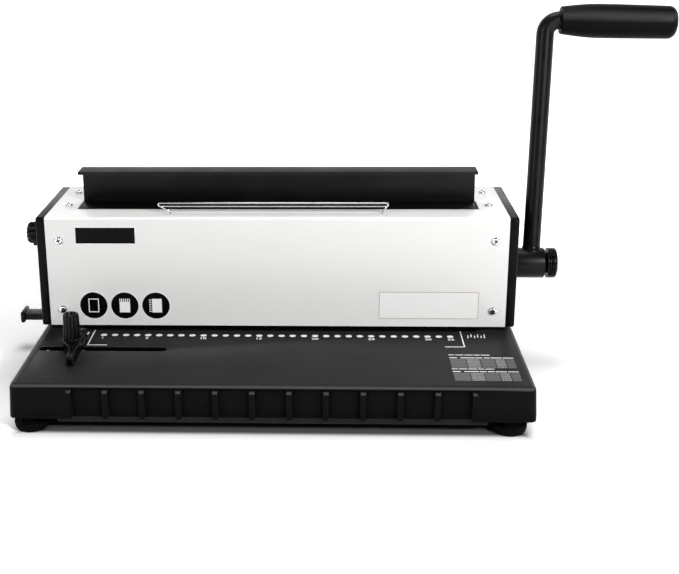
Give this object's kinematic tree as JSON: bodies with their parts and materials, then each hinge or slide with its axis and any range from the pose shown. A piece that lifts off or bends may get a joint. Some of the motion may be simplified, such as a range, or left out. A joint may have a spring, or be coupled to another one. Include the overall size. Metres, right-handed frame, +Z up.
{
  "type": "wire binding machine",
  "caption": "Hand-operated wire binding machine: a black base with an edge guide and chip tray carries a white body with a punch, an angled closer jaw, a wire holder and a long side handle.",
  "frame": {"origin": "on the desk, below the middle of the machine's outline seen from above", "axes": "+X is the user's right, +Y the back and +Z up, with the user in front at -Y"},
  "size_m": [0.5154, 0.205, 0.2747],
  "materials": {
    "black_moulding": "fine-grained black plastic of the base",
    "black_plastic": "satin black plastic of the knobs, covers, tray and grip",
    "black_enamel": "satin black paint on steel",
    "white_enamel": "satin white powder coat on sheet steel",
    "rubber": "matt black rubber",
    "chrome": "bright chrome plating",
    "zinc_plate": "zinc-plated steel",
    "tool_steel": "ground tool steel",
    "bronze": "sintered bronze"
  },
  "bodies": {
    "machine": {"base_shell": "black_moulding", "bottom_plate": "black_enamel", "foot_front_left": "rubber", "foot_front_right": "rubber", "foot_rear_left": "rubber", "foot_rear_right": "rubber", "frame_left": "zinc_plate", "frame_right": "zinc_plate", "tie_bar": "zinc_plate", "front_cover": "white_enamel", "rear_cover": "white_enamel", "side_cover_left": "black_plastic", "side_cover_right": "black_plastic", "front_screw_top_left": "chrome", "front_screw_bottom_left": "chrome", "top_screw_front_left": "chrome", "top_screw_rear_left": "chrome", "front_screw_top_right": "chrome", "front_screw_bottom_right": "chrome", "top_screw_front_right": "chrome", "top_screw_rear_right": "chrome", "die_plate": "tool_steel", "pin_guide_plate": "tool_steel", "paper_stop": "zinc_plate", "punch_post_left": "zinc_plate", "punch_post_right": "zinc_plate", "punch_spring_left": "zinc_plate", "punch_spring_right": "zinc_plate", "shaft_bush_left": "bronze", "shaft_bush_right": "bronze", "jaw_guide_left": "zinc_plate", "jaw_guide_right": "zinc_plate", "jaw_spring_left": "zinc_plate", "jaw_spring_right": "zinc_plate", "wire_holder": "chrome"},
    "handle": {"drive_shaft": "tool_steel", "punch_cam_left": "tool_steel", "punch_cam_right": "tool_steel", "closer_cam_left": "tool_steel", "closer_cam_right": "tool_steel", "hub_washer": "zinc_plate", "handle_hub": "black_enamel", "hub_cap": "black_plastic", "handle_rod": "black_enamel", "handle_grip": "black_plastic"},
    "punch": {"punch_bar": "tool_steel", "punch_pins": "tool_steel"},
    "jaw": {"closer_jaw": "black_enamel", "jaw_leg_left": "zinc_plate", "jaw_leg_right": "zinc_plate"},
    "adjuster": {"adjuster_shaft": "zinc_plate", "adjuster_knob": "black_plastic", "anvil_cam_left": "tool_steel", "anvil_cam_right": "tool_steel"},
    "lower_jaw": {"anvil": "black_enamel"},
    "tray": {"chip_tray": "black_plastic"},
    "guide": {"edge_guide": "black_plastic", "edge_guide_nut": "zinc_plate"},
    "guide_knob": {"edge_guide_knob": "black_plastic"}
  },
  "joints": [
    {"name": "handle_swing", "type": "hinge", "parent": "machine", "child": "handle", "pos_m": [0.15263, 0.0525, 0.0789], "axis": [1, 0, 0], "range_deg": [0, 95], "stiffness_Nm_per_rad": 0.6, "springref_deg": -34.38},
    {"name": "punch_slide", "type": "slide", "parent": "machine", "child": "punch", "axis": [0, 0, -1], "range_m": [0, 0.009], "deforming": ["punch_spring_left", "punch_spring_right"]},
    {"name": "jaw_slide", "type": "slide", "parent": "machine", "child": "jaw", "axis": [0, 0, -1], "range_m": [0, 0.016], "deforming": ["jaw_spring_left", "jaw_spring_right"]},
    {"name": "adjuster_turn", "type": "hinge", "parent": "machine", "child": "adjuster", "pos_m": [-0.23122, 0.0365, 0.1074], "axis": [1, 0, 0], "range_deg": [0, 270]},
    {"name": "anvil_slide", "type": "slide", "parent": "machine", "child": "lower_jaw", "axis": [0, 0, 1], "range_m": [0, 0.006]},
    {"name": "tray_slide", "type": "slide", "parent": "machine", "child": "tray", "axis": [-1, 0, 0], "range_m": [0, 0.24]},
    {"name": "guide_slide", "type": "slide", "parent": "machine", "child": "guide", "axis": [1, 0, 0], "range_m": [-0.011, 0.064]},
    {"name": "guide_knob_turn", "type": "hinge", "parent": "guide", "child": "guide_knob", "pos_m": [-0.19457, -0.034, 0.0554], "axis": [0, 0, 1], "range_deg": [0, 180]}
  ],
  "couplings": [
    {"joint": "punch_slide", "follows": "handle_swing", "m_per_rad": 0.005428},
    {"joint": "jaw_slide", "follows": "handle_swing", "m_per_rad": 0.009649},
    {"joint": "adjuster_turn", "follows": "anvil_slide", "rad_per_m": 785.4}
  ]
}
